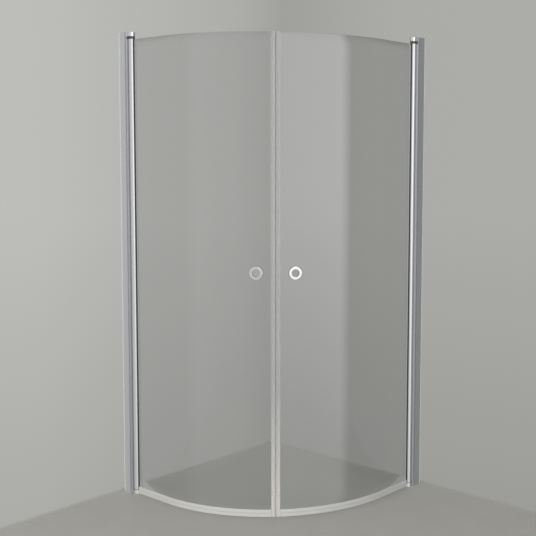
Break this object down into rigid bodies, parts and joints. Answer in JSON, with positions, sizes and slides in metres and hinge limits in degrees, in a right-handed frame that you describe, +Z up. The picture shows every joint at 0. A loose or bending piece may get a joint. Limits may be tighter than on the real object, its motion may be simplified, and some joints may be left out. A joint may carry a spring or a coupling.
{
  "type": "corner shower enclosure",
  "caption": "Quadrant corner shower enclosure with two bent tinted glass doors that swing in and out on hinge tubes beside the wall profiles and meet at magnetic seam seals.",
  "frame": {"origin": "on the floor, at the centre of the square that the enclosure closes off", "axes": "+Z up; the left wall is the plane X = -0.445, the right wall is the plane Y = +0.445, and the bent glass faces towards +X and -Y"},
  "size_m": [0.89, 0.89, 1.9],
  "materials": {
    "satin_aluminium": "satin anodised",
    "polished_aluminium": "polished",
    "polished_metal": "polished",
    "polished_cap": "metallised satin",
    "steel": "bright",
    "black_plastic": "semi-gloss black",
    "black_rubber": "matt",
    "magnet_strip": "matt, off-white",
    "tinted_glass": "clear, grey tint",
    "clear_seal": "milky, translucent",
    "clear_washer": "clear"
  },
  "bodies": {
    "wall_frame": {"left_wall_profile": "satin_aluminium", "left_profile_cap": "polished_cap", "left_adjusting_profile": "satin_aluminium", "left_locking_screws": "steel", "left_top_hinge_block": "polished_metal", "left_bottom_hinge_block": "polished_metal", "left_block_screws": "steel", "left_top_pivot_pin": "steel", "left_bottom_pivot_pin": "steel", "right_wall_profile": "satin_aluminium", "right_profile_cap": "polished_cap", "right_adjusting_profile": "satin_aluminium", "right_locking_screws": "steel", "right_top_hinge_block": "polished_metal", "right_bottom_hinge_block": "polished_metal", "right_block_screws": "steel", "right_top_pivot_pin": "steel", "right_bottom_pivot_pin": "steel"},
    "left_door": {"left_hinge_tube": "polished_aluminium", "left_top_bush": "black_plastic", "left_bottom_bush": "black_plastic", "left_glass_gasket": "black_rubber", "left_glass": "tinted_glass", "left_seam_seal": "clear_seal", "left_seam_magnet": "magnet_strip", "left_sweep_seal": "clear_seal", "left_grip_outer_ring": "polished_metal", "left_grip_inner_ring": "polished_metal", "left_grip_washers": "clear_washer"},
    "right_door": {"right_hinge_tube": "polished_aluminium", "right_top_bush": "black_plastic", "right_bottom_bush": "black_plastic", "right_glass_gasket": "black_rubber", "right_glass": "tinted_glass", "right_seam_seal": "clear_seal", "right_seam_magnet": "magnet_strip", "right_sweep_seal": "clear_seal", "right_grip_outer_ring": "polished_metal", "right_grip_inner_ring": "polished_metal", "right_grip_washers": "clear_washer"}
  },
  "joints": [
    {"name": "left_door_hinge", "type": "hinge", "parent": "wall_frame", "child": "left_door", "pos_m": [-0.387, -0.4225, 0], "axis": [0, 0, -1], "range_deg": [-70, 95]},
    {"name": "right_door_hinge", "type": "hinge", "parent": "wall_frame", "child": "right_door", "pos_m": [0.4225, 0.387, 0], "axis": [0, 0, 1], "range_deg": [-70, 95]}
  ]
}
